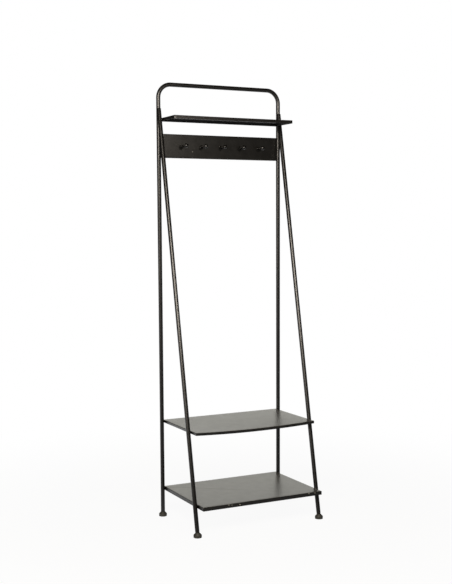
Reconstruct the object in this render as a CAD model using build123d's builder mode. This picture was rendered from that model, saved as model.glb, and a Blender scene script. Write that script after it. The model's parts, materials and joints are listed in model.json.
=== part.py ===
from build123d import *
import math
import os

# Valet stand: a hoop of bent tube with two slanted front legs, three folded sheet shelves,
# a hook rail with ball pegs, and four levelling feet. Millimetres, +Z up, front at -Y,
# origin on the floor in the middle of the width and depth.

# Stand as a whole
overall_height = 1800.0  # floor to the top of the hoop
leg_spacing = 560.0  # between the axes of the left and right legs
leg_reach = 340.0  # between the centres of the rear and front feet

# Tube of the hoop and legs
tube_diameter = 17.2
tube_wall = 1.5
hoop_bend_radius = 55.0  # at the tube's axis
front_leg_rise = 38.0  # front legs' upper ends above the top shelf
front_leg_offset = 5.0  # front leg's axis ahead of the hoop's axis at its upper end

# Folded sheet of the shelves and the hook rail
sheet = 1.2
fold_inside_radius = 1.0
top_shelf_drop = 145.0  # hoop's top to the shelf's upper face
top_shelf_depth = 144.0
top_shelf_lip = 13.0
middle_shelf_height = 410.0  # floor to the upper face
middle_shelf_depth = 322.0
middle_shelf_lip = 11.0
lower_shelf_height = 126.0
lower_shelf_depth = 382.0
lower_shelf_lip = 15.0
rail_drop = 63.0  # top shelf's upper face to the rail's upper edge
rail_height = 97.0
rail_screw_spacing = 60.0

# Hook pegs
peg_count = 5
peg_pitch = 89.0
peg_reach = 41.0  # rail's face to the ball's centre
peg_ball_diameter = 18.0
peg_stem_diameter = 7.0
peg_flange_diameter = 15.0
peg_flange_thickness = 3.0
peg_thread_depth = 10.0

# M4 pan-head screws and the rivet nuts they go into
screw_diameter = 4.0
screw_head_diameter = 7.0
screw_head_height = 2.2
screw_socket = 2.5  # across the flats of the hexagon
screw_socket_depth = 1.2
screw_head_room = 0.3  # between a head's rim and the inside of a fold
screw_hole_clearance = 0.25  # on the radius, in the sheet
thread_clearance = 0.05  # on the radius, in every threaded bore
rivet_nut_diameter = 6.0
rivet_nut_length = 9.0
rivet_bulge_diameter = 7.6
rivet_bulge_length = 2.5

# Levelling feet: a domed base on the ball end of an M8 stud
foot_diameter = 33.0
foot_edge = 1.0
foot_shoulder_height = 10.5  # top of the base's upright side
foot_dome_radius = 13.0  # about the ball's centre
foot_dome_angle = 58.0  # from the dome's top to its edge
ball_height = 9.0  # ball's centre above the floor
ball_diameter = 10.0
ball_clearance = 0.1
neck_diameter = 6.0
neck_clearance = 0.5
stud_diameter = 8.0
stud_chamfer = 1.0
stud_grip = 12.0  # thread left in the nut's side of the tube at full travel
foot_travel = 10.0
foot_stop_gap = 0.3  # tube's end to the dome, foot wound fully in
leg_nut_recess = 3.0
leg_nut_length = 14.0

# Sizes and places that follow from those above
top_shelf_height = overall_height - top_shelf_drop
front_leg_top = top_shelf_height + front_leg_rise
rail_top = top_shelf_height - rail_drop
tube_radius = tube_diameter / 2
bore_radius = tube_radius - tube_wall
leg_x = leg_spacing / 2
foot_radius = foot_diameter / 2
shelf_width = leg_spacing - tube_diameter
fold_radius = fold_inside_radius + sheet
screw_inset = screw_head_diameter / 2 + fold_radius + screw_head_room  # from a folded edge
screw_radius = screw_diameter / 2
screw_hole_radius = screw_radius + screw_hole_clearance
rivet_radius = rivet_nut_diameter / 2
front_extent = max(lower_shelf_depth - screw_inset, leg_reach + foot_radius)
rear_y = (front_extent - foot_radius) / 2
shelf_rear_y = rear_y + screw_inset
front_foot_y = rear_y - leg_reach
rail_face_y = rear_y - screw_inset
rail_depth = 2 * screw_inset
rail_middle = rail_top - rail_height / 2
lean = math.atan2(leg_reach - front_leg_offset, front_leg_top - ball_height)
front_leg_length = (front_leg_top - ball_height) / math.cos(lean)
tube_start = math.sqrt(foot_dome_radius**2 - bore_radius**2) + foot_stop_gap

sides = {"left": -1, "right": 1}
shelves = {
    "top_shelf": (top_shelf_height, top_shelf_depth, top_shelf_lip),
    "middle_shelf": (middle_shelf_height, middle_shelf_depth, middle_shelf_lip),
    "lower_shelf": (lower_shelf_height, lower_shelf_depth, lower_shelf_lip),
}

os.makedirs("parts", exist_ok=True)


def save(part, name):
    part.label = name
    export_step(part, f"parts/{name}.step")


def front_leg_y(height):
    """Where a front leg's axis is, front to back, at a height above the floor."""
    return front_foot_y + (height - ball_height) * math.tan(lean)


def leg_plane(x, y, tilt):
    """Plane square to a leg's axis at its foot's ball, with +Z up the leg."""
    return Plane((x, y, ball_height), x_dir=(1, 0, 0), z_dir=(0, math.sin(tilt), math.cos(tilt)))


def turning_plane(seat):
    """Plane through a seat's axis, for the half outline of a turned piece."""
    return Plane(seat.origin, x_dir=seat.x_dir, z_dir=-seat.y_dir)


# Screws are listed by height, with where they meet the rear legs and the front legs.
shelf_screw_heights = {name: height - screw_inset for name, (height, depth, lip) in shelves.items()}
rail_screw_heights = [rail_middle - rail_screw_spacing / 2, rail_middle + rail_screw_spacing / 2]
rear_holes = [(rear_y, z) for z in [*shelf_screw_heights.values(), *rail_screw_heights]]
front_holes = [(front_leg_y(z), z) for z in shelf_screw_heights.values()]

# Rear hoop: one tube bent twice, drilled on its inner sides for the rivet nuts
with BuildPart() as rear_hoop:
    bar_height = overall_height - tube_radius
    with BuildLine(Plane.XZ.offset(-rear_y)) as hoop_path:
        FilletPolyline(
            (-leg_x, ball_height + tube_start),
            (-leg_x, bar_height),
            (leg_x, bar_height),
            (leg_x, ball_height + tube_start),
            radius=hoop_bend_radius,
        )
    with BuildSketch(Plane((-leg_x, rear_y, ball_height + tube_start))):
        Circle(tube_radius)
        Circle(bore_radius, mode=Mode.SUBTRACT)
    sweep(path=hoop_path.line)
    with BuildSketch(Plane.YZ):
        with Locations(*rear_holes):
            Circle(rivet_radius)
    extrude(amount=leg_x, both=True, mode=Mode.SUBTRACT)
save(rear_hoop.part, "rear_hoop")

# Front legs: straight tubes, closed on top and coped to lie against the hoop's legs
for side, sign in sides.items():
    foot_end = leg_plane(sign * leg_x, front_foot_y, lean).offset(tube_start)
    with BuildPart() as front_leg:
        with BuildSketch(foot_end):
            Circle(tube_radius)
        extrude(amount=front_leg_length - tube_start)
        with BuildSketch(foot_end):
            Circle(bore_radius)
        extrude(amount=front_leg_length - tube_start - tube_wall, mode=Mode.SUBTRACT)
        with BuildSketch(Plane((sign * leg_x, rear_y, 0))):
            Circle(tube_radius)
        extrude(amount=overall_height, mode=Mode.SUBTRACT)
        with BuildSketch(Plane.YZ):
            with Locations(*front_holes):
                Circle(rivet_radius)
        extrude(amount=leg_x, both=True, mode=Mode.SUBTRACT)
    save(front_leg.part, f"front_leg_{side}")


def folded_panel(face, length, width, lip):
    """Sheet panel on a plane, with its lips folded back all round and open behind."""
    with BuildPart() as panel:
        with BuildSketch(face):
            RectangleRounded(length, width, fold_radius)
        extrude(amount=-lip)
        fillet(panel.faces().sort_by(Axis(face.origin, face.z_dir))[-1].edges(), fold_radius)
        offset(amount=-sheet, openings=panel.faces().sort_by(Axis(face.origin, face.z_dir))[0])
    return panel.part


# Shelves: folded panels between the legs, drilled through both end lips for their screws
for name, (height, depth, lip) in shelves.items():
    screw_height = shelf_screw_heights[name]
    with BuildPart() as shelf:
        add(folded_panel(Plane((0, shelf_rear_y - depth / 2, height)), shelf_width, depth, lip))
        with BuildSketch(Plane.YZ):
            with Locations((rear_y, screw_height), (front_leg_y(screw_height), screw_height)):
                Circle(screw_hole_radius)
        extrude(amount=leg_x, both=True, mode=Mode.SUBTRACT)
    save(shelf.part, name)

# Hook rail: the same folded panel on edge, facing forward, drilled for its screws and the pegs
rail_face = Plane((0, rail_face_y, rail_middle), x_dir=(1, 0, 0), z_dir=(0, -1, 0))
with BuildPart() as hook_rail:
    add(folded_panel(rail_face, shelf_width, rail_height, rail_depth))
    with BuildSketch(Plane.YZ):
        with Locations(*[(rear_y, z) for z in rail_screw_heights]):
            Circle(screw_hole_radius)
    extrude(amount=leg_x, both=True, mode=Mode.SUBTRACT)
    with BuildSketch(rail_face):
        with GridLocations(peg_pitch, 0, peg_count, 1):
            Circle(screw_hole_radius)
    extrude(amount=-rail_depth, mode=Mode.SUBTRACT)
save(hook_rail.part, "hook_rail")


def hook_peg(seat):
    """Turned peg on the rail: flange, stem and ball, tapped from behind."""
    ball_radius = peg_ball_diameter / 2
    stem_radius = peg_stem_diameter / 2
    flange_radius = peg_flange_diameter / 2
    tap_radius = screw_radius + thread_clearance
    ball_start = peg_reach - math.sqrt(ball_radius**2 - stem_radius**2)
    with BuildPart() as peg:
        with BuildSketch(turning_plane(seat)):
            with BuildLine():
                Polyline(
                    (0, peg_reach + ball_radius),
                    (0, peg_thread_depth),
                    (tap_radius, peg_thread_depth),
                    (tap_radius, 0),
                    (flange_radius, 0),
                    (flange_radius, peg_flange_thickness / 2),
                    (stem_radius, peg_flange_thickness),
                    (stem_radius, ball_start),
                )
                ThreePointArc((stem_radius, ball_start), (ball_radius, peg_reach), (0, peg_reach + ball_radius))
            make_face()
        revolve(axis=Axis(seat.origin, seat.z_dir))
    return peg.part


# Hook pegs: one per hole in the rail
for index in range(peg_count):
    peg_x = (index - (peg_count - 1) / 2) * peg_pitch
    peg_seat = Plane((peg_x, rail_face_y, rail_middle), x_dir=(1, 0, 0), z_dir=(0, -1, 0))
    save(hook_peg(peg_seat), f"hook_peg_{index + 1}")


def pan_screws(seats, length):
    """Pan-head screws under whose heads the seats lie, with their heads on the +Z side."""
    with BuildPart() as screws:
        with BuildSketch(*seats):
            Circle(screw_head_diameter / 2)
        extrude(amount=screw_head_height)
        with BuildSketch(*[seat.offset(screw_head_height) for seat in seats]):
            RegularPolygon(screw_socket / 2, 6, major_radius=False)
        extrude(amount=-screw_socket_depth, mode=Mode.SUBTRACT)
        with BuildSketch(*seats):
            Circle(screw_radius)
        extrude(amount=-length)
    return screws.part


def rivet_nuts(seats):
    """Rivet nuts set in tube walls, flush with the seats and bulged behind the wall."""
    bulge_radius = rivet_bulge_diameter / 2
    bulge_start = tube_radius - math.sqrt(bore_radius**2 - bulge_radius**2) + thread_clearance
    with BuildPart() as nuts:
        with BuildSketch(*seats):
            Circle(rivet_radius)
        extrude(amount=-rivet_nut_length)
        with BuildSketch(*[seat.offset(-bulge_start) for seat in seats]):
            Circle(bulge_radius)
        extrude(amount=-rivet_bulge_length)
        with BuildSketch(*seats):
            Circle(screw_radius + thread_clearance)
        extrude(amount=-rivet_nut_length, mode=Mode.SUBTRACT)
    return nuts.part


def side_seats(holes, inset):
    """Planes facing the middle of the stand, at the holes on both sides, inset from the legs."""
    return [
        Plane((sign * (shelf_width / 2 - inset), y, z), x_dir=(0, 1, 0), z_dir=(-sign, 0, 0))
        for sign in sides.values()
        for y, z in holes
    ]


# Screws and rivet nuts: heads inside the lips, nuts in the legs' inner sides
side_screw_length = sheet + rivet_nut_length
for name, z in shelf_screw_heights.items():
    shelf_holes = [(rear_y, z), (front_leg_y(z), z)]
    save(pan_screws(side_seats(shelf_holes, sheet), side_screw_length), f"{name}_screws")
rail_holes = [(rear_y, z) for z in rail_screw_heights]
save(pan_screws(side_seats(rail_holes, sheet), side_screw_length), "rail_screws")
save(rivet_nuts(side_seats(rear_holes, 0)), "hoop_rivet_nuts")
save(rivet_nuts(side_seats(front_holes, 0)), "front_leg_rivet_nuts")

# Peg screws: driven from inside the rail
peg_screw_seats = [
    Plane(((i - (peg_count - 1) / 2) * peg_pitch, rail_face_y + sheet, rail_middle), z_dir=(0, 1, 0))
    for i in range(peg_count)
]
save(pan_screws(peg_screw_seats, sheet + peg_thread_depth - 1), "peg_screws")


def leg_nut(seat):
    """Threaded plug pressed into the lower end of a leg."""
    with BuildPart() as nut:
        with BuildSketch(seat.offset(tube_start + leg_nut_recess)):
            Circle(bore_radius)
            Circle(stud_diameter / 2 + thread_clearance, mode=Mode.SUBTRACT)
        extrude(amount=leg_nut_length)
    return nut.part


def foot_stud(seat):
    """Levelling stud: a ball, a neck and a length of thread up the leg."""
    ball_radius = ball_diameter / 2
    neck_radius = neck_diameter / 2
    stud_radius = stud_diameter / 2
    neck_start = math.sqrt(ball_radius**2 - neck_radius**2)
    thread_start = foot_dome_radius
    stud_top = tube_start + foot_travel + stud_grip
    with BuildPart() as stud:
        with BuildSketch(turning_plane(seat)):
            with BuildLine():
                ThreePointArc((0, -ball_radius), (ball_radius, 0), (neck_radius, neck_start))
                Polyline(
                    (neck_radius, neck_start),
                    (neck_radius, thread_start),
                    (stud_radius, thread_start),
                    (stud_radius, stud_top - stud_chamfer),
                    (stud_radius - stud_chamfer, stud_top),
                    (0, stud_top),
                    (0, -ball_radius),
                )
            make_face()
        revolve(axis=Axis(seat.origin, seat.z_dir))
    return stud.part


def foot_base(seat):
    """Domed base, level on the floor, with the socket that the stud's ball snaps into."""
    socket_radius = ball_diameter / 2 + ball_clearance
    shoulder = foot_shoulder_height - ball_height
    dome_edge = foot_dome_radius * math.sin(math.radians(foot_dome_angle))
    neck_room = neck_diameter / 2 / math.cos(lean) + neck_clearance
    lip_height = socket_radius / 2
    lip_radius = math.sqrt(socket_radius**2 - lip_height**2)
    mouth_radius = foot_dome_radius * math.tan(lean) + neck_room
    mouth_height = math.sqrt(foot_dome_radius**2 - mouth_radius**2)
    dome_middle = foot_dome_radius * math.sqrt(0.5)
    with BuildPart() as base:
        with BuildSketch(turning_plane(seat)):
            with BuildLine():
                Polyline(
                    (0, -socket_radius),
                    (0, -ball_height),
                    (foot_radius - foot_edge, -ball_height),
                    (foot_radius, foot_edge - ball_height),
                    (foot_radius, shoulder),
                    (dome_edge, math.sqrt(foot_dome_radius**2 - dome_edge**2)),
                )
                ThreePointArc(
                    (dome_edge, math.sqrt(foot_dome_radius**2 - dome_edge**2)),
                    (dome_middle, dome_middle),
                    (mouth_radius, mouth_height),
                )
                Line((mouth_radius, mouth_height), (lip_radius, lip_height))
                ThreePointArc((lip_radius, lip_height), (socket_radius, 0), (0, -socket_radius))
            make_face()
        revolve(axis=Axis(seat.origin, seat.z_dir))
    return base.part


# Levelling feet: the bases stay level, the studs and nuts follow their legs
for side, sign in sides.items():
    for row, y, tilt in (("rear", rear_y, 0.0), ("front", front_foot_y, lean)):
        leg_seat = leg_plane(sign * leg_x, y, tilt)
        level_seat = leg_plane(sign * leg_x, y, 0.0)
        save(leg_nut(leg_seat), f"leg_nut_{row}_{side}")
        save(foot_stud(leg_seat), f"foot_stud_{row}_{side}")
        save(foot_base(level_seat), f"foot_base_{row}_{side}")
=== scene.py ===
import json
import math

import bmesh
import bpy
from mathutils import Matrix, Vector


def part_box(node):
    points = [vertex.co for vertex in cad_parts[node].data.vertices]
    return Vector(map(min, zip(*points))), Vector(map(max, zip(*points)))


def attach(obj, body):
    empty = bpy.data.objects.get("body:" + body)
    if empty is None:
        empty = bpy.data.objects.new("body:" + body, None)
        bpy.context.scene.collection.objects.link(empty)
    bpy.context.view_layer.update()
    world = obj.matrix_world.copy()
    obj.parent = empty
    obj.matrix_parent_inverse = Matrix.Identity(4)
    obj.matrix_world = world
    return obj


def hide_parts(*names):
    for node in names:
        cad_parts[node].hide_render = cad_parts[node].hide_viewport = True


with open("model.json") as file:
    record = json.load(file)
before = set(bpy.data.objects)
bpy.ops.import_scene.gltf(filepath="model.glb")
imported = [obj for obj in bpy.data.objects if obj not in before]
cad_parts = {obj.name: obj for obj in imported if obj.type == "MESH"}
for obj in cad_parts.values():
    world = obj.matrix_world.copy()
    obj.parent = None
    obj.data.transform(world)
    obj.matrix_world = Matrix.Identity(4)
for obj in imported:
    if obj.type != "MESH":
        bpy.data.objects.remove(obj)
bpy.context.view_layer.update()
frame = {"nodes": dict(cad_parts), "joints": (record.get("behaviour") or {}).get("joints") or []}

# Rear hoop: the two rear legs and the top bar, one length of 17.2 mm steel tube with 1.5 mm wall,
# bent twice on a mandrel and powder coated satin black. Everything else is fixed to it.
tube_radius = 0.0086
tube_wall = 0.0015
tube_sides = 64
bend_radius = 0.055
bend_steps = 24
hoop_low, hoop_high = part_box("rear_hoop")
leg_x = hoop_high.x - tube_radius
rear_y = (hoop_low.y + hoop_high.y) / 2
bar_z = hoop_high.z - tube_radius


def linear(colour):
    """Linear RGBA of an sRGB hex colour."""
    parts = [int(colour[i : i + 2], 16) / 255 for i in (1, 3, 5)]
    return (*[c / 12.92 if c <= 0.04045 else ((c + 0.055) / 1.055) ** 2.4 for c in parts], 1.0)


def add_node(tree, kind, inputs=None, **settings):
    """Adds a node with its settings; its inputs are values, nodes to link from, or their sockets."""
    node = tree.nodes.new(kind)
    for name, value in settings.items():
        setattr(node, name, value)
    for key, value in (inputs or {}).items():
        if isinstance(key, int):
            socket = node.inputs[key]
        else:
            socket = next(s for s in node.inputs if s.enabled and s.name == key)
        if isinstance(value, bpy.types.Node):
            value = next(s for s in value.outputs if s.enabled)
        if isinstance(value, bpy.types.NodeSocket):
            tree.links.new(value, socket)
        else:
            socket.default_value = value
    return node


def blank_material(name):
    """A new material with its empty node tree, and the place of a point on the piece."""
    material = bpy.data.materials.new(name)
    material.use_nodes = True
    tree = material.node_tree
    tree.nodes.clear()
    return material, tree, add_node(tree, "ShaderNodeTexCoord").outputs["Object"]


def powder_coat(name, roughness_range, lacquer, marks=(), dust_and_sheen=0.0):
    """Powder-coated steel: a satin black film with a fine orange peel, a little brown in the black,
    cloudy patches of gloss from handling, some clear lacquer over it, and on faces that look up, dust
    with a painted pale sheen that stands in for reflected light, paler towards the back.
    Each mark changes its colour and roughness."""
    coat, tree, place = blank_material(name)
    shiniest, dullest = roughness_range
    # Orange peel is about 0.8 mm across on the real film; 2 mm still shows close up.
    peel_width = 0.002
    peel = add_node(tree, "ShaderNodeTexNoise", {"Vector": place, "Scale": 1 / peel_width, "Detail": 2.0})
    bump = add_node(tree, "ShaderNodeBump", {"Strength": 0.1, "Distance": 0.00002, "Height": peel})
    # Film thickness varies over a hand's breadth, and handling marks are finger-sized.
    film_width = 0.09
    film = add_node(tree, "ShaderNodeTexNoise", {"Vector": place, "Scale": 1 / film_width, "Detail": 3.0})
    colour = add_node(
        tree,
        "ShaderNodeMix",
        {"Factor": film, "A": linear("#090807"), "B": linear("#12100d")},
        data_type="RGBA",
    )
    touch_width = 0.03
    touched = add_node(tree, "ShaderNodeTexNoise", {"Vector": place, "Scale": 1 / touch_width, "Detail": 3.0})
    roughness = add_node(
        tree,
        "ShaderNodeMapRange",
        {"Value": touched, "From Min": 0.3, "From Max": 0.7, "To Min": shiniest, "To Max": dullest},
    )
    if dust_and_sheen:
        normal = add_node(tree, "ShaderNodeNewGeometry").outputs["Normal"]
        facing = add_node(tree, "ShaderNodeSeparateXYZ", {"Vector": normal}).outputs["Z"]
        # The underside takes less powder and stays rougher.
        underside = 0.55
        under = add_node(tree, "ShaderNodeMapRange", {"Value": facing, "From Min": -0.6, "From Max": -0.9})
        roughness = add_node(
            tree, "ShaderNodeMix", {"Factor": under, "A": roughness, "B": underside}, data_type="FLOAT"
        )
        # Faces that look up take dust, mixed with a painted pale sheen that stands in for the backdrop's
        # reflection.
        settled_dust_and_sheen = add_node(
            tree, "ShaderNodeMapRange", {"Value": facing, "From Min": 0.6, "From Max": 0.98, "To Max": dust_and_sheen}
        )
        # Dust lies thicker towards the back, where nothing wipes it off, and so does the painted pale
        # sheen that stands in for the brighter reflection there.
        depth = add_node(tree, "ShaderNodeSeparateXYZ", {"Vector": place}).outputs["Y"]
        paler_towards_back = add_node(
            tree,
            "ShaderNodeMapRange",
            {"Value": depth, "From Min": -0.2, "From Max": 0.1, "To Min": 0.35, "To Max": 1.0},
        )
        drift_width = 0.04
        drift = add_node(
            tree, "ShaderNodeTexNoise", {"Vector": place, "Scale": 1 / drift_width, "Detail": 4.0}
        )
        drift = add_node(
            tree, "ShaderNodeMapRange", {"Value": drift, "From Min": 0.3, "From Max": 0.7, "To Min": 0.7}
        )
        dust_and_sheen_cover = add_node(tree, "ShaderNodeMath", {0: settled_dust_and_sheen, 1: paler_towards_back}, operation="MULTIPLY")
        dust_and_sheen_cover = add_node(tree, "ShaderNodeMath", {0: dust_and_sheen_cover, 1: drift}, operation="MULTIPLY")
        colour = add_node(
            tree,
            "ShaderNodeMix",
            {"Factor": dust_and_sheen_cover, "A": colour, "B": linear("#a8a69c")},
            data_type="RGBA",
        )
    for mark in marks:
        colour, roughness = mark(tree, place, colour, roughness)
    shader = add_node(
        tree,
        "ShaderNodeBsdfPrincipled",
        {
            "Base Color": colour,
            "Roughness": roughness,
            "IOR": 1.58,
            "Normal": bump,
            "Coat Weight": lacquer,
            "Coat Roughness": dullest,
        },
    )
    add_node(tree, "ShaderNodeOutputMaterial", {"Surface": shader})
    return coat


def piece_of(name, mesh, material=None):
    """A shown object at the origin with this mesh, in this material if one is given."""
    piece = bpy.data.objects.new(name, mesh)
    bpy.context.scene.collection.objects.link(piece)
    if material:
        mesh.materials.clear()
        mesh.materials.append(material)
    return piece


def baked(piece):
    """Applies the piece's modifiers and smooths its mesh up to the sharp edges."""
    sharp_angle = math.radians(38)
    depsgraph = bpy.context.evaluated_depsgraph_get()
    mesh = bpy.data.meshes.new_from_object(piece.evaluated_get(depsgraph))
    piece.modifiers.clear()
    old, piece.data = piece.data, mesh
    mesh.name = piece.name
    bpy.data.meshes.remove(old)
    mesh.shade_smooth()
    mesh.set_sharp_from_angle(angle=sharp_angle)


def node_tree(name, sockets):
    """Geometry Nodes tree with these named inputs, and geometry in and out."""
    tree = bpy.data.node_groups.new(name, "GeometryNodeTree")
    tree.interface.new_socket("Geometry", in_out="INPUT", socket_type="NodeSocketGeometry")
    for label, kind in sockets.items():
        tree.interface.new_socket(label, in_out="INPUT", socket_type=f"NodeSocket{kind}")
    tree.interface.new_socket("Geometry", in_out="OUTPUT", socket_type="NodeSocketGeometry")
    return tree, add_node(tree, "NodeGroupInput").outputs


def end_tree(tree, geometry, material):
    """Ends a Geometry Nodes tree: its instances made real, and its material set."""
    single = add_node(tree, "GeometryNodeRealizeInstances", {"Geometry": geometry})
    painted = add_node(tree, "GeometryNodeSetMaterial", {"Geometry": single, "Material": material})
    add_node(tree, "NodeGroupOutput", {"Geometry": painted})


def grown(piece, tree, values):
    """Gives the piece this tree with its inputs set, and applies it."""
    modifier = piece.modifiers.new(tree.name, "NODES")
    modifier.node_group = tree
    for socket in tree.interface.items_tree:
        if socket.in_out == "INPUT" and socket.name in values:
            modifier[socket.identifier] = values[socket.name]
    baked(piece)


def outward(mesh):
    """Merges doubles and turns all faces outwards."""
    made = bmesh.new()
    made.from_mesh(mesh)
    bmesh.ops.remove_doubles(made, verts=made.verts, dist=1e-7)
    bmesh.ops.recalc_face_normals(made, faces=made.faces)
    made.to_mesh(mesh)
    made.free()


black_tube = powder_coat(
    "powder_coated_tube_satin_black", roughness_range=(0.27, 0.32), lacquer=0.35, dust_and_sheen=0.02
)

bent_tube, size = node_tree(
    "bent_tube",
    {
        "Tube radius": "Float",
        "Sides": "Int",
        "Bend radius": "Float",
        "Bend steps": "Int",
        "Material": "Material",
    },
)
path = add_node(bent_tube, "GeometryNodeMeshToCurve", {"Mesh": size["Geometry"]})
bends = add_node(
    bent_tube,
    "GeometryNodeFilletCurve",
    {"Curve": path, "Count": size["Bend steps"], "Radius": size["Bend radius"]},
    mode="POLY",
)
section = add_node(
    bent_tube,
    "GeometryNodeCurvePrimitiveCircle",
    {"Resolution": size["Sides"], "Radius": size["Tube radius"]},
)
wall = add_node(bent_tube, "GeometryNodeCurveToMesh", {"Curve": bends, "Profile Curve": section})
end_tree(bent_tube, wall, size["Material"])

hoop_line = bpy.data.meshes.new("hoop_line")
hoop_corners = [
    (-leg_x, rear_y, hoop_low.z),
    (-leg_x, rear_y, bar_z),
    (leg_x, rear_y, bar_z),
    (leg_x, rear_y, hoop_low.z),
]
hoop_line.from_pydata(hoop_corners, [(0, 1), (1, 2), (2, 3)], [])
hoop = piece_of("hoop_bent_tube", hoop_line)
hoop_sizes = {
    "Tube radius": tube_radius,
    "Sides": tube_sides,
    "Bend radius": bend_radius,
    "Bend steps": bend_steps,
    "Material": black_tube,
}
grown(hoop, bent_tube, hoop_sizes)
outward(hoop.data)
thickness = hoop.modifiers.new("wall", "SOLIDIFY")
thickness.thickness = tube_wall
thickness.offset = -1.0
baked(hoop)
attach(hoop, "frame")
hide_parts("rear_hoop")

# Front legs: straight lengths of the same tube, closed on top, leaning back 11.25 degrees and
# coped to lie against the hoop's legs, where they are welded before coating.
sides = {"left": -1, "right": 1}
end_round = 0.0008
# The cope is cut by a cylinder like the hoop's leg, with a little room, between two heights.
cope_room = 0.00002
cope_bottom = 1.55
cope_top = 1.75
# Each leg has a frame at the centre of its foot's ball, with +Z up the leg.
leg_frames = {}
for joint in frame["joints"]:
    if joint["type"] == "hinge":
        tilt = Matrix.Rotation(math.asin(joint["axis"][1]), 4, "X")
        leg_frames[joint["child"].removeprefix("stud_")] = Matrix.Translation(joint["pos_m"]) @ tilt
lean = -leg_frames["front_left"].to_euler().x
front_foot_y = leg_frames["front_left"].translation.y
ball_z = leg_frames["front_left"].translation.z
leg_start = hoop_low.z - ball_z
# The highest point of a front leg is at the front of its end.
leg_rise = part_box("front_leg_left")[1].z - ball_z
leg_length = (leg_rise - tube_radius * math.sin(lean)) / math.cos(lean)


def turned(profile, steps):
    """Mesh turned about +Z from (radius, height) points. A radius of 0 closes on the axis, and one
    that is a function takes the angle and the height."""
    made = bmesh.new()
    rings = []
    for radius, height in profile:
        ring = []
        for k in range(steps if radius else 1):
            a = 2 * math.pi * k / steps
            r = radius(a, height) if callable(radius) else radius
            ring.append(made.verts.new((r * math.cos(a), r * math.sin(a), height)))
        rings.append(ring)
    for low, high in zip(rings, rings[1:]):
        for k in range(steps):
            n = (k + 1) % steps
            corners = [low[k % len(low)], low[n % len(low)], high[n % len(high)], high[k % len(high)]]
            made.faces.new(list(dict.fromkeys(corners)))
    bmesh.ops.recalc_face_normals(made, faces=made.faces)
    mesh = bpy.data.meshes.new("turned")
    made.to_mesh(mesh)
    made.free()
    return mesh


def rounded(radius, height, edge, start, turn=90, steps=4):
    """Points of an arc about a radius and height, from a start angle through a turn, in degrees."""
    turns = [math.radians(start + turn * k / steps) for k in range(steps + 1)]
    return [(radius + edge * math.cos(t), height + edge * math.sin(t)) for t in turns]


bore_radius = tube_radius - tube_wall
leg_profile = [
    (0, leg_length - tube_wall),
    (bore_radius, leg_length - tube_wall),
    (bore_radius, leg_start),
    (tube_radius, leg_start),
    *rounded(tube_radius - end_round, leg_length - end_round, end_round, 0),
    (0, leg_length),
]
cope_radius = tube_radius + cope_room
cope_profile = [(0, cope_bottom), (cope_radius, cope_bottom), (cope_radius, cope_top), (0, cope_top)]
for side, sign in sides.items():
    leg = piece_of(f"front_leg_{side}_tube", turned(leg_profile, tube_sides), black_tube)
    leg.data.transform(leg_frames[f"front_{side}"])
    hoop_leg = piece_of("hoop_leg_cutter", turned(cope_profile, tube_sides))
    hoop_leg.data.transform(Matrix.Translation((sign * leg_x, rear_y, 0)))
    cope = leg.modifiers.new("cope", "BOOLEAN")
    cope.operation = "DIFFERENCE"
    cope.solver = "EXACT"
    cope.object = hoop_leg
    baked(leg)
    bpy.data.objects.remove(hoop_leg)
    leg.data.materials.clear()
    leg.data.materials.append(black_tube)
    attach(leg, "frame")
    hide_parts(f"front_leg_{side}")

# Weld beads: where the front legs' upper ends lie on the hoop, a small rippled bead of weld metal
# runs round each joint, coated over with the tubes.
bead_radius = 0.0011
bead_sides = 10
bead_ripple = 0.0016
bead_depth = 0.16
ripple_steps = 6
seam_steps = 40
end_stride = 4

bead, size = node_tree(
    "weld_bead", {"Bead radius": "Float", "Ripple": "Float", "Depth": "Float", "Material": "Material"}
)
seam = add_node(bead, "GeometryNodeMeshToCurve", {"Mesh": size["Geometry"]})
step = add_node(bead, "ShaderNodeMath", {0: size["Ripple"], 1: ripple_steps}, operation="DIVIDE")
even = add_node(bead, "GeometryNodeResampleCurve", {"Curve": seam, "Length": step}, mode="LENGTH")
along = add_node(bead, "GeometryNodeSplineParameter").outputs["Length"]
ripples = add_node(bead, "ShaderNodeMath", {0: along, 1: size["Ripple"]}, operation="DIVIDE")
turn = add_node(bead, "ShaderNodeMath", {0: ripples, 1: 2 * math.pi}, operation="MULTIPLY")
wave = add_node(bead, "ShaderNodeMath", {0: turn}, operation="SINE")
swell = add_node(bead, "ShaderNodeMath", {0: wave, 1: size["Depth"], 2: 1.0}, operation="MULTIPLY_ADD")
section = add_node(
    bead, "GeometryNodeCurvePrimitiveCircle", {"Resolution": bead_sides, "Radius": size["Bead radius"]}
)
metal = add_node(
    bead, "GeometryNodeCurveToMesh", {"Curve": even, "Profile Curve": section, "Scale": swell}
)
end_tree(bead, metal, size["Material"])

reach = rear_y - front_foot_y


def seam_point(sign, turn, on_top):
    """Point on the hoop's leg, at a turn from its front, where the front leg's side or its end meets it."""
    forward = tube_radius * math.cos(turn)
    if on_top:
        up = (leg_length - (reach - forward) * math.sin(lean)) / math.cos(lean)
    else:
        up = ((reach - forward) * math.cos(lean) - forward) / math.sin(lean)
    return (sign * leg_x + tube_radius * math.sin(turn), rear_y - forward, ball_z + up)


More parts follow.
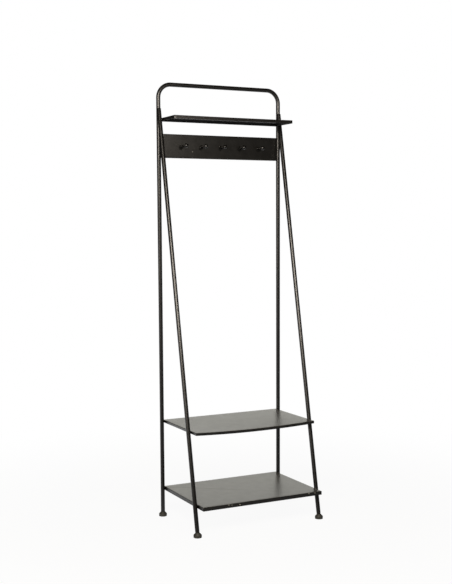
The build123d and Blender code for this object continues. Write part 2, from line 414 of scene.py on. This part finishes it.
# Round the hoop's leg, the joint turns from the front leg's side on to its end at this angle.
end_turn = math.acos((reach - leg_length * math.sin(lean)) / (tube_radius * (1 + math.cos(lean))))
turns = [end_turn * k / seam_steps for k in range(-seam_steps, seam_steps + 1)]
bead_sizes = {"Bead radius": bead_radius, "Ripple": bead_ripple, "Depth": bead_depth, "Material": black_tube}
for side, sign in sides.items():
    points = [seam_point(sign, t, False) for t in turns]
    points += [seam_point(sign, t, True) for t in reversed(turns[end_stride:-end_stride:end_stride])]
    loop = bpy.data.meshes.new("weld_seam")
    loop.from_pydata(points, [(k, (k + 1) % len(points)) for k in range(len(points))], [])
    weld = piece_of(f"weld_bead_{side}", loop)
    grown(weld, bead, bead_sizes)
    outward(weld.data)
    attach(weld, "frame")

# Rivet nuts and leg nuts: zinc-plated steel threads set in the tube walls and in the legs' lower
# ends. Almost hidden, so their solids stay, with the plating's bright, slightly cloudy finish.


def zinc_plate(name, dull, bright):
    """Zinc-plated steel between two tones: a soft metal shine, cloudy from the passivation, with a
    fine grit."""
    plate, tree, place = blank_material(name)
    cloud_width = 0.004
    cloud = add_node(tree, "ShaderNodeTexNoise", {"Vector": place, "Scale": 1 / cloud_width, "Detail": 4.0})
    colour = add_node(
        tree, "ShaderNodeMix", {"Factor": cloud, "A": linear(dull), "B": linear(bright)}, data_type="RGBA"
    )
    roughness = add_node(
        tree,
        "ShaderNodeMapRange",
        {"Value": cloud, "From Min": 0.3, "From Max": 0.7, "To Min": 0.22, "To Max": 0.4},
    )
    grit_width = 0.0005
    grit = add_node(tree, "ShaderNodeTexNoise", {"Vector": place, "Scale": 1 / grit_width, "Detail": 2.0})
    bump = add_node(tree, "ShaderNodeBump", {"Strength": 0.15, "Distance": 0.00002, "Height": grit})
    shader = add_node(
        tree,
        "ShaderNodeBsdfPrincipled",
        {"Base Color": colour, "Metallic": 1.0, "Roughness": roughness, "Normal": bump},
    )
    add_node(tree, "ShaderNodeOutputMaterial", {"Surface": shader})
    return plate


zinc = zinc_plate("zinc_plated_steel_bright", "#a9adb0", "#c9cbca")
for node in ["hoop_rivet_nuts", "front_leg_rivet_nuts", *[f"leg_nut_{foot}" for foot in leg_frames]]:
    frame["nodes"][node].data.materials.clear()
    frame["nodes"][node].data.materials.append(zinc)

# Shelves: panels of 1.2 mm sheet steel with lips folded down all round, powder coated, set between
# the legs and screwed to them. The middle one has sagged at its front with use, and the front fold of
# the lower one is chipped.
sheet = 0.0012
fold_radius = 0.0022
fold_steps = 5
shelf_width = 2 * (leg_x - tube_radius)
shelf_cells = (48, 24)
shelf_sags = {"top_shelf": 0.0004, "middle_shelf": 0.0072, "lower_shelf": 0.0}


def folded_sheet(name, length, width, lip, cells, sag=0.0):
    """Sheet panel facing +Z at the origin, with rounded folds and lips all round; its front is at -Y."""
    made = bmesh.new()
    bent = made.verts.layers.float.new("fold")
    columns, rows = cells
    half_x, half_y = length / 2 - fold_radius, width / 2 - fold_radius
    xs = [half_x * (2 * i / columns - 1) for i in range(columns + 1)]
    ys = [half_y * (2 * j / rows - 1) for j in range(rows + 1)]
    flat = [[made.verts.new((x, y, 0)) for x in xs] for y in ys]
    for j in range(rows):
        for i in range(columns):
            made.faces.new((flat[j][i], flat[j][i + 1], flat[j + 1][i + 1], flat[j + 1][i]))
    border = [(flat[0][i], -90) for i in range(columns)]
    border += [(flat[j][columns], 0) for j in range(rows)]
    border += [(flat[rows][i], 90) for i in range(columns, 0, -1)]
    border += [(flat[j][0], 180) for j in range(rows, 0, -1)]
    folds = rounded(0, -fold_radius, fold_radius, 90, -90, steps=fold_steps)[1:]
    folds.append((fold_radius, -lip))
    corner = {flat[0][0]: 180, flat[0][columns]: 270, flat[rows][columns]: 0, flat[rows][0]: 90}
    spokes = []
    for vert, facing in border:
        start = corner.get(vert)
        turns = [facing] if start is None else [start + 90 * k / fold_steps for k in range(fold_steps + 1)]
        for t in turns:
            away = Vector((math.cos(math.radians(t)), math.sin(math.radians(t)), 0))
            bend = [made.verts.new(vert.co + away * out + Vector((0, 0, up))) for out, up in folds]
            spokes.append([vert, *bend])
            for k in range(1, fold_steps):
                spokes[-1][k][bent] = math.sin(math.pi * k / fold_steps)
    for one, two in zip(spokes, spokes[1:] + spokes[:1]):
        for k in range(len(folds)):
            made.faces.new(list(dict.fromkeys((one[k], one[k + 1], two[k + 1], two[k]))))
    bmesh.ops.recalc_face_normals(made, faces=made.faces)
    # The sag is a parabola along the panel and grows towards its front.
    for vert in made.verts:
        along, across = 2 * vert.co.x / length, max(0.0, 0.5 - vert.co.y / width)
        vert.co.z -= sag * (1 - along**2) * across**1.5
    mesh = bpy.data.meshes.new(name)
    made.to_mesh(mesh)
    made.free()
    return mesh


def gauged(piece):
    """Gives a folded panel the thickness of its sheet, inwards."""
    gauge = piece.modifiers.new("gauge", "SOLIDIFY")
    gauge.thickness = sheet
    gauge.offset = -1.0
    gauge.use_even_offset = True
    baked(piece)


def worn_and_lit_folds(tree, place, colour, roughness):
    """The film on the folds, rubbed thin in patches by hands and cloths: browner and shinier.
    The lighter brown is also a painted highlight where the folds catch light from the floor.
    """
    fold = add_node(tree, "ShaderNodeAttribute", attribute_name="fold").outputs["Fac"]
    patch_width = 0.025
    patches = add_node(tree, "ShaderNodeTexNoise", {"Vector": place, "Scale": 1 / patch_width, "Detail": 3.0})
    rubbed = add_node(tree, "ShaderNodeMapRange", {"Value": patches, "From Min": 0.35, "From Max": 0.65})
    wear_and_highlight = add_node(tree, "ShaderNodeMath", {0: fold, 1: rubbed}, operation="MULTIPLY")
    # Painted highlight: this pale brown also stands in for the light the folds catch from the floor.
    brown_wear_and_highlight = linear("#2e2720")
    polished = 0.24
    colour = add_node(tree, "ShaderNodeMix", {"Factor": wear_and_highlight, "A": colour, "B": brown_wear_and_highlight}, data_type="RGBA")
    roughness = add_node(
        tree, "ShaderNodeMix", {"Factor": wear_and_highlight, "A": roughness, "B": polished}, data_type="FLOAT"
    )
    return colour, roughness


def dragged(tree, place, colour, roughness):
    """A line across the lower shelf where something was dragged over it and dulled the film."""
    heading = math.radians(-35.72)
    lengthwise = (math.cos(heading), math.sin(heading), 0)
    crosswise = (-math.sin(heading), math.cos(heading), 0)
    from_middle = 0.0242
    dull = 0.6
    aside = add_node(tree, "ShaderNodeVectorMath", {0: place, 1: crosswise}, operation="DOT_PRODUCT")
    aside = add_node(tree, "ShaderNodeMath", {0: aside, 1: from_middle}, operation="ADD")
    aside = add_node(tree, "ShaderNodeMath", {0: aside}, operation="ABSOLUTE")
    line = add_node(tree, "ShaderNodeMapRange", {"Value": aside, "From Min": 0.0022, "From Max": 0.0008})
    along = add_node(tree, "ShaderNodeVectorMath", {0: place, 1: lengthwise}, operation="DOT_PRODUCT")
    start = add_node(tree, "ShaderNodeMapRange", {"Value": along, "From Min": -0.308, "From Max": -0.29})
    end = add_node(tree, "ShaderNodeMapRange", {"Value": along, "From Min": 0.052, "From Max": -0.08})
    rubbed = add_node(tree, "ShaderNodeMath", {0: line, 1: start}, operation="MULTIPLY")
    rubbed = add_node(tree, "ShaderNodeMath", {0: rubbed, 1: end}, operation="MULTIPLY")
    roughness = add_node(
        tree, "ShaderNodeMix", {"Factor": rubbed, "A": roughness, "B": dull}, data_type="FLOAT"
    )
    return colour, roughness


def pale_spots(*spots):
    """Marks of small ragged pale spots, each a place and a size, matt and the colour of primer."""
    rag_width = 0.003
    rag = Vector((rag_width, rag_width, rag_width))

    def spotted(tree, place, colour, roughness):
        edges = add_node(
            tree, "ShaderNodeTexNoise", {"Vector": place, "Scale": 1 / rag_width, "Detail": 2.0}
        )
        ragged = add_node(
            tree,
            "ShaderNodeVectorMath",
            {0: edges.outputs["Color"], 1: rag, 2: place},
            operation="MULTIPLY_ADD",
        )
        spot_cover = 0.0
        for middle, width in spots:
            middle = Vector(middle) + rag / 2
            near = add_node(tree, "ShaderNodeVectorMath", {0: ragged, 1: middle}, operation="DISTANCE")
            spot = add_node(
                tree,
                "ShaderNodeMapRange",
                {"Value": near, "From Min": 0.6 * width, "From Max": 0.45 * width},
            )
            spot_cover = add_node(tree, "ShaderNodeMath", {0: spot_cover, 1: spot}, operation="MAXIMUM")
        spot_colour = linear("#a19f98")
        matt = 0.7
        colour = add_node(tree, "ShaderNodeMix", {"Factor": spot_cover, "A": colour, "B": spot_colour}, data_type="RGBA")
        roughness = add_node(
            tree, "ShaderNodeMix", {"Factor": spot_cover, "A": roughness, "B": matt}, data_type="FLOAT"
        )
        return colour, roughness

    return spotted


shelf_boxes = {name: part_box(name) for name in shelf_sags}
lower_front_y = shelf_boxes["lower_shelf"][0].y
lower_chips = [
    ((-0.1594, lower_front_y, 0.1232), 0.004),
    ((-0.1461, lower_front_y, 0.1214), 0.003),
    ((-0.1105, lower_front_y, 0.1188), 0.005),
    ((0.2092, lower_front_y, 0.1228), 0.004),
    ((0.2381, lower_front_y, 0.1217), 0.004),
]
shelf_marks = {"lower_shelf": [worn_and_lit_folds, dragged, pale_spots(*lower_chips)]}
for name, (low, high) in shelf_boxes.items():
    panel = folded_sheet(name, shelf_width, high.y - low.y, high.z - low.z, shelf_cells, shelf_sags[name])
    marks = shelf_marks.get(name, [worn_and_lit_folds])
    # The shelves' dust is also a painted pale sheen for the backdrop's reflection on their tops.
    coat = powder_coat(
        f"powder_coated_sheet_{name}", roughness_range=(0.3, 0.34), lacquer=0.3, marks=marks, dust_and_sheen=0.18
    )
    shelf = piece_of(f"{name}_folded_sheet", panel, coat)
    gauged(shelf)
    shelf.data.transform(Matrix.Translation((0, (low.y + high.y) / 2, high.z)))
    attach(shelf, "frame")
    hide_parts(name)

# Hook rail: the same sheet folded into a shallow tray on edge, powder coated, facing forward under
# the top shelf and screwed to the hoop's legs. Its face has one small pale spot.
rail_low, rail_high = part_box("hook_rail")
rail_face_y = rail_low.y
rail_height = rail_high.z - rail_low.z
rail_depth = rail_high.y - rail_low.y
rail_middle = rail_low.z + rail_height / 2
rail_cells = (48, 10)
# A small pale matt spot painted on the rail's face.
rail_pale_spot = ((-0.131, rail_face_y, 1.5224), 0.0026)
rail_marks = [worn_and_lit_folds, pale_spots(rail_pale_spot)]
rail_coat = powder_coat(
    "powder_coated_sheet_hook_rail", roughness_range=(0.3, 0.35), lacquer=0.0, marks=rail_marks
)
rail_panel = folded_sheet("hook_rail", shelf_width, rail_height, rail_depth, rail_cells)
rail = piece_of("hook_rail_folded_sheet", rail_panel, rail_coat)
gauged(rail)
rail.data.transform(Matrix.Translation((0, rail_face_y, rail_middle)) @ Matrix.Rotation(math.pi / 2, 4, "X"))
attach(rail, "frame")
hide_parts("hook_rail")

# Hook pegs: five turned steel pegs, flange, stem and ball in one piece, coated black and screwed on
# from behind the rail.
peg_count = 5
peg_pitch = 0.089
peg_reach = 0.041
peg_sides = 48
ball_radius = 0.009
ball_steps = 28
stem_radius = 0.0035
stem_fillet = 0.0005
flange_radius = 0.0075
flange_thickness = 0.0015
flange_edge = 0.0004
flat_inset = 0.0003

neck_turn = math.degrees(math.asin(stem_radius / ball_radius))
peg_profile = [
    (0, 0),
    (flange_radius, 0),
    *rounded(flange_radius - flange_edge, flange_thickness - flange_edge, flange_edge, 0),
    (flange_radius - flange_edge - flat_inset, flange_thickness),
    (stem_radius + stem_fillet + flat_inset, flange_thickness),
    *rounded(stem_radius + stem_fillet, flange_thickness + stem_fillet, stem_fillet, 270, -90, steps=2),
    *rounded(0, peg_reach, ball_radius, neck_turn - 90, 180 - neck_turn, steps=ball_steps)[:-1],
    (0, peg_reach + ball_radius),
]
peg_pattern = piece_of("peg_pattern", turned(peg_profile, peg_sides))
peg_pattern.data.transform(Matrix.Rotation(math.pi / 2, 4, "X"))

peg_row, size = node_tree(
    "peg_row",
    {"Peg": "Object", "Count": "Int", "First": "Vector", "Pitch": "Vector", "Material": "Material"},
)
holes = add_node(
    peg_row,
    "GeometryNodeMeshLine",
    {"Count": size["Count"], "Start Location": size["First"], "Offset": size["Pitch"]},
)
peg = add_node(peg_row, "GeometryNodeObjectInfo", {"Object": size["Peg"], "As Instance": True})
row = add_node(
    peg_row, "GeometryNodeInstanceOnPoints", {"Points": holes, "Instance": peg.outputs["Geometry"]}
)
end_tree(peg_row, row, size["Material"])

black_peg = powder_coat("powder_coated_turned_steel_black", roughness_range=(0.16, 0.22), lacquer=0.0)
pegs = piece_of("hook_pegs_turned", bpy.data.meshes.new("hook_pegs"))
peg_sizes = {
    "Peg": peg_pattern,
    "Count": peg_count,
    "First": (-(peg_count - 1) / 2 * peg_pitch, rail_face_y, rail_middle),
    "Pitch": (peg_pitch, 0, 0),
    "Material": black_peg,
}
grown(pegs, peg_row, peg_sizes)
bpy.data.objects.remove(peg_pattern)
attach(pegs, "frame")
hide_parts(*[f"hook_peg_{k + 1}" for k in range(peg_count)])

# Screws: M4 pan heads with hexagon sockets, zinc plated and passivated black. Four sit inside each
# shelf's end lips, four inside the rail's ends, and one behind each peg.
head_radius = 0.0035
head_height = 0.0022
head_round = 0.0011
head_edge = 0.0001
screw_radius = 0.002
screw_length = 0.0102
screw_chamfer = 0.0004
screw_sides = 24
screw_inset = 0.006
socket_flat = 0.00125
socket_depth = 0.0012
rail_screw_spacing = 0.060


def hexagon(a, z):
    """Radius of the socket at an angle."""
    return socket_flat / math.cos(a % (math.pi / 3) - math.pi / 6)


screw_profile = [
    (0, -screw_length),
    (screw_radius - screw_chamfer, -screw_length),
    (screw_radius, screw_chamfer - screw_length),
    (screw_radius, 0),
    (head_radius - head_edge, 0),
    (head_radius, head_edge),
    *rounded(head_radius - head_round, head_height - head_round, head_round, 0),
    (hexagon, head_height),
    (hexagon, head_height - socket_depth),
    (0, head_height - socket_depth),
]
screw_pattern = piece_of("screw_pattern", turned(screw_profile, screw_sides))

screw_set, size = node_tree(
    "screw_set",
    {
        "Screw": "Object",
        "Across": "Float",
        "Along": "Float",
        "Columns": "Int",
        "Rows": "Int",
        "Middle": "Vector",
        "Turn": "Rotation",
        "Facing": "Vector",
        "Material": "Material",
    },
)
seats = add_node(
    screw_set,
    "GeometryNodeMeshGrid",
    {
        "Size X": size["Across"],
        "Size Y": size["Along"],
        "Vertices X": size["Columns"],
        "Vertices Y": size["Rows"],
    },
)
placed = add_node(
    screw_set,
    "GeometryNodeTransform",
    {"Geometry": seats, "Translation": size["Middle"], "Rotation": size["Turn"]},
)
where = add_node(screw_set, "GeometryNodeInputPosition")
inwards = add_node(screw_set, "ShaderNodeVectorMath", {0: where, 1: size["Facing"]}, operation="MULTIPLY")
aim = add_node(screw_set, "FunctionNodeAlignRotationToVector", {"Vector": inwards}, axis="Z")
one = add_node(screw_set, "GeometryNodeObjectInfo", {"Object": size["Screw"], "As Instance": True})
every = add_node(
    screw_set,
    "GeometryNodeInstanceOnPoints",
    {"Points": placed, "Instance": one.outputs["Geometry"], "Rotation": aim},
)
end_tree(screw_set, every, size["Material"])

black_zinc = zinc_plate("zinc_plated_steel_black", "#191918", "#2b2b2a")
screws = {}
for name, (low, high) in shelf_boxes.items():
    z = high.z - screw_inset
    front_y = front_foot_y + (z - ball_z) * math.tan(lean)
    screws[name] = {"Along": rear_y - front_y, "Middle": (0, (rear_y + front_y) / 2, z)}
screws["rail"] = {
    "Along": rail_screw_spacing,
    "Middle": (0, rear_y, rail_middle),
    "Turn": (math.pi / 2, 0, 0),
}
screws["peg"] = {
    "Across": peg_pitch * (peg_count - 1),
    "Columns": peg_count,
    "Rows": 1,
    "Middle": (0, rail_face_y + sheet, rail_middle),
    "Facing": (0, 1, 0),
}
side_screws = {
    "Screw": screw_pattern,
    "Across": shelf_width - 2 * sheet,
    "Columns": 2,
    "Rows": 2,
    "Facing": (-1, 0, 0),
    "Material": black_zinc,
}
for name, laid_out in screws.items():
    group = piece_of(f"{name}_pan_head_screws", bpy.data.meshes.new(f"{name}_screws"))
    grown(group, screw_set, {**side_screws, **laid_out})
    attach(group, "frame")
    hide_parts(f"{name}_screws")
bpy.data.objects.remove(screw_pattern)

# Foot studs: M8 steel studs with a ball end, rolled thread, zinc plated. They screw into the leg
# nuts, so each turn lets its foot out by the pitch.
stud_radius = 0.004
stud_root = 0.0034
stud_pitch = 0.00125
stud_sides = 32
stud_start = 0.013
stud_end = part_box("foot_stud_rear_left")[1].z - ball_z
stud_chamfer = 0.001
stud_ball = 0.005
stud_neck = 0.003
pitch_steps = 8
flank_slope = 1.6
root_flat = 0.3
neck_run = 0.0005


def thread(a, z):
    """Radius of the rolled thread, running out at its upper end."""
    phase = (z / stud_pitch - a / (2 * math.pi)) % 1.0
    height = min(1.0, max(0.0, flank_slope * (1 - abs(2 * phase - 1)) - root_flat))
    run = min(1.0, max(0.0, (stud_end - z) / stud_chamfer))
    return min(stud_root + (stud_radius - stud_root) * height, stud_radius - stud_chamfer * (1 - run))


neck_turn = math.degrees(math.asin(stud_neck / stud_ball))
thread_steps = round((stud_end - stud_start) / (stud_pitch / pitch_steps))
stud_profile = [
    (0, -stud_ball),
    *rounded(0, 0, stud_ball, -90, 180 - neck_turn, steps=20)[1:],
    (stud_neck, stud_start - neck_run),
    *[(thread, stud_start + (stud_end - stud_start) * k / thread_steps) for k in range(thread_steps + 1)],
    (0, stud_end),
]
for foot, leg_frame in leg_frames.items():
    stud = piece_of(f"foot_stud_{foot}_threaded", turned(stud_profile, stud_sides), zinc)
    stud.data.transform(leg_frame)
    baked(stud)
    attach(stud, f"stud_{foot}")
    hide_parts(f"foot_stud_{foot}")

# Foot bases: domed feet moulded in black nylon, snapped over the studs' balls so that they stand
# level under upright and slanted legs alike.
base_radius = 0.0165
base_edge = 0.001
base_sides = 64
dome_radius = 0.013
dome_turn = 58
shoulder_height = 0.0105
shoulder_round = 0.0036
socket_radius = 0.0051
socket_turn = 120
neck_room = 0.0005


def moulded_nylon(name):
    """Black nylon, moulded in an etched tool: dark grey, half matt, with a fine pebbled grain and
    scuffs."""
    nylon, tree, place = blank_material(name)
    grain_width = 0.0008
    grain = add_node(tree, "ShaderNodeTexVoronoi", {"Vector": place, "Scale": 1 / grain_width})
    bump = add_node(tree, "ShaderNodeBump", {"Strength": 0.2, "Distance": 0.00004, "Height": grain})
    scuff_width = 0.005
    scuffs = add_node(
        tree,
        "ShaderNodeTexNoise",
        {"Vector": place, "Scale": 1 / scuff_width, "Detail": 6.0, "Roughness": 0.7},
    )
    colour = add_node(
        tree,
        "ShaderNodeMix",
        {"Factor": scuffs, "A": linear("#2b2b29"), "B": linear("#474742")},
        data_type="RGBA",
    )
    roughness = add_node(
        tree,
        "ShaderNodeMapRange",
        {"Value": scuffs, "From Min": 0.3, "From Max": 0.7, "To Min": 0.38, "To Max": 0.55},
    )
    shader = add_node(
        tree,
        "ShaderNodeBsdfPrincipled",
        {"Base Color": colour, "Roughness": roughness, "IOR": 1.53, "Normal": bump},
    )
    add_node(tree, "ShaderNodeOutputMaterial", {"Surface": shader})
    return nylon


black_nylon = moulded_nylon("moulded_nylon_black")
# The dome's mouth clears the stud's neck in a slanted leg, and a straight slope leads from the dome
# down to the rounded shoulder.
mouth_radius = dome_radius * math.tan(lean) + stud_neck / math.cos(lean) + neck_room
mouth_turn = math.degrees(math.acos(mouth_radius / dome_radius))
dome_edge = 90 - dome_turn
slope_run = base_radius - dome_radius * math.cos(math.radians(dome_edge))
slope_drop = dome_radius * math.sin(math.radians(dome_edge)) - (shoulder_height - ball_z)
slope_turn = math.degrees(math.atan2(slope_run, slope_drop))
shoulder_z = shoulder_height - ball_z - shoulder_round * math.tan(math.radians(slope_turn / 2))
base_profile = [
    (0, -socket_radius),
    *rounded(0, 0, socket_radius, -90, socket_turn, steps=14)[1:],
    *rounded(0, 0, dome_radius, mouth_turn, dome_edge - mouth_turn, steps=5),
    *rounded(base_radius - shoulder_round, shoulder_z, shoulder_round, slope_turn, -slope_turn),
    *rounded(base_radius - base_edge, base_edge - ball_z, base_edge, 0, -90),
    (0, -ball_z),
]
for foot, leg_frame in leg_frames.items():
    base = piece_of(f"foot_base_{foot}_moulded", turned(base_profile, base_sides), black_nylon)
    base.data.transform(Matrix.Translation(leg_frame.translation))
    baked(base)
    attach(base, f"foot_{foot}")
    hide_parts(f"foot_base_{foot}")

# Studio: a pale floor that runs out of sight, a white surround that darkens towards the front, and
# soft lamps from the front and the left.
scene = bpy.context.scene
scene.view_settings.view_transform = "Standard"
floor_reach = 30.0
floor_corners = [(x * floor_reach, y * floor_reach, 0) for x, y in ((-1, -1), (1, -1), (1, 1), (-1, 1))]
floor_mesh = bpy.data.meshes.new("floor")
floor_mesh.from_pydata(floor_corners, [], [(0, 1, 2, 3)])
floor_paint, tree, place = blank_material("floor_white_paint")
path = add_node(tree, "ShaderNodeLightPath").outputs
mirrored = path["Is Glossy Ray"]
seen = add_node(
    tree, "ShaderNodeMath", {0: path["Is Camera Ray"], 1: path["Is Transmission Ray"]}, operation="MAXIMUM"
)
seen = add_node(tree, "ShaderNodeMath", {0: seen, 1: mirrored}, operation="MAXIMUM")
# In reflections the floor darkens towards the front, as the surround does.
depth = add_node(tree, "ShaderNodeSeparateXYZ", {"Vector": place}).outputs["Y"]
behind = add_node(
    tree,
    "ShaderNodeMapRange",
    {"Value": depth, "From Min": -0.2, "From Max": 1.0, "To Min": 0.2, "To Max": 1.0},
)
bright = add_node(tree, "ShaderNodeMix", {"Factor": mirrored, "A": 1.0, "B": behind}, data_type="FLOAT")
# Near the stand a little of the matt paint shows, and with it the shadow.
away = add_node(tree, "ShaderNodeVectorMath", {0: place}, operation="LENGTH")
swept = add_node(
    tree,
    "ShaderNodeMapRange",
    {"Value": away, "From Min": 0.5, "From Max": 2.2, "To Min": 0.94, "To Max": 1.0},
    interpolation_type="SMOOTHSTEP",
)
share = add_node(tree, "ShaderNodeMath", {0: seen, 1: swept}, operation="MULTIPLY")
matt = add_node(tree, "ShaderNodeBsdfDiffuse", {"Color": linear("#f2f2f0")})
white = add_node(tree, "ShaderNodeEmission", {"Color": linear("#ffffff"), "Strength": bright})
mixed = add_node(tree, "ShaderNodeMixShader", {0: share, 1: matt, 2: white})
add_node(tree, "ShaderNodeOutputMaterial", {"Surface": mixed})
floor = piece_of("floor", floor_mesh, floor_paint)

world = bpy.data.worlds.new("studio")
scene.world = world
world.use_nodes = True
tree = world.node_tree
tree.nodes.clear()
path = add_node(tree, "ShaderNodeLightPath").outputs
seen = add_node(
    tree, "ShaderNodeMath", {0: path["Is Camera Ray"], 1: path["Is Transmission Ray"]}, operation="MAXIMUM"
)
backdrop = Vector((0.43, 0.87, 0.22)).normalized()
outlook = add_node(tree, "ShaderNodeTexCoord").outputs["Generated"]
towards = add_node(tree, "ShaderNodeVectorMath", {0: outlook, 1: backdrop}, operation="DOT_PRODUCT")
glow = add_node(
    tree,
    "ShaderNodeMapRange",
    {"Value": towards, "From Min": 0.86, "From Max": 0.975, "To Min": 0.03, "To Max": 1.0},
    interpolation_type="SMOOTHSTEP",
)
surround = add_node(tree, "ShaderNodeMix", {"Factor": seen, "A": glow, "B": 1.0}, data_type="FLOAT")
warm_white = (1.0, 0.99, 0.92, 1.0)
tint = add_node(
    tree,
    "ShaderNodeMix",
    {"Factor": seen, "A": warm_white, "B": linear("#ffffff")},
    data_type="RGBA",
)
light = add_node(tree, "ShaderNodeBackground", {"Color": tint, "Strength": surround})
add_node(tree, "ShaderNodeOutputWorld", {"Surface": light})

lamp_colour = (1.0, 0.91, 0.79)
lamps = {
    "key_softbox": {"place": (-1.85, -2.65, 2.5), "aim": (0, 0, 1.1), "size": (1.4, 1.2), "power": 92},
    "left_softbox": {"place": (-2.75, -1.4, 1.45), "aim": (0, 0.1, 1.2), "size": (1.0, 1.3), "power": 14},
    "front_softbox": {"place": (0.12, -2.2, 1.88), "aim": (0, 0.17, 1.4), "size": (0.34, 0.34), "power": 12},
}
for name, set_up in lamps.items():
    lamp = bpy.data.lights.new(name, "AREA")
    lamp.shape = "RECTANGLE"
    lamp.size, lamp.size_y = set_up["size"]
    lamp.energy = set_up["power"]
    lamp.color = lamp_colour
    softbox = bpy.data.objects.new(name, lamp)
    softbox.location = set_up["place"]
    softbox.rotation_euler = (Vector(set_up["aim"]) - softbox.location).to_track_quat("-Z", "Y").to_euler()
    softbox.visible_camera = False
    scene.collection.objects.link(softbox)

# Camera: at the photograph's place, 4.3 m off to the front left and a little above the middle.
# It looks to the right and slightly down, and is held almost level.
camera_place = (-1.94202, -3.67114, 1.21556)
camera_pan = math.radians(26.494)
camera_tilt = math.radians(-5.567)
camera_roll = math.radians(-0.358)
camera_data = bpy.data.cameras.new("camera")
camera_data.sensor_width = 36.0
camera_data.lens = 62.531
camera_data.shift_x = 0.01646
camera_data.shift_y = 0.05667
camera = bpy.data.objects.new("camera", camera_data)
camera.matrix_world = (
    Matrix.Translation(camera_place)
    @ Matrix.Rotation(-camera_pan, 4, "Z")
    @ Matrix.Rotation(math.pi / 2 + camera_tilt, 4, "X")
    @ Matrix.Rotation(camera_roll, 4, "Z")
)
scene.collection.objects.link(camera)
scene.camera = camera
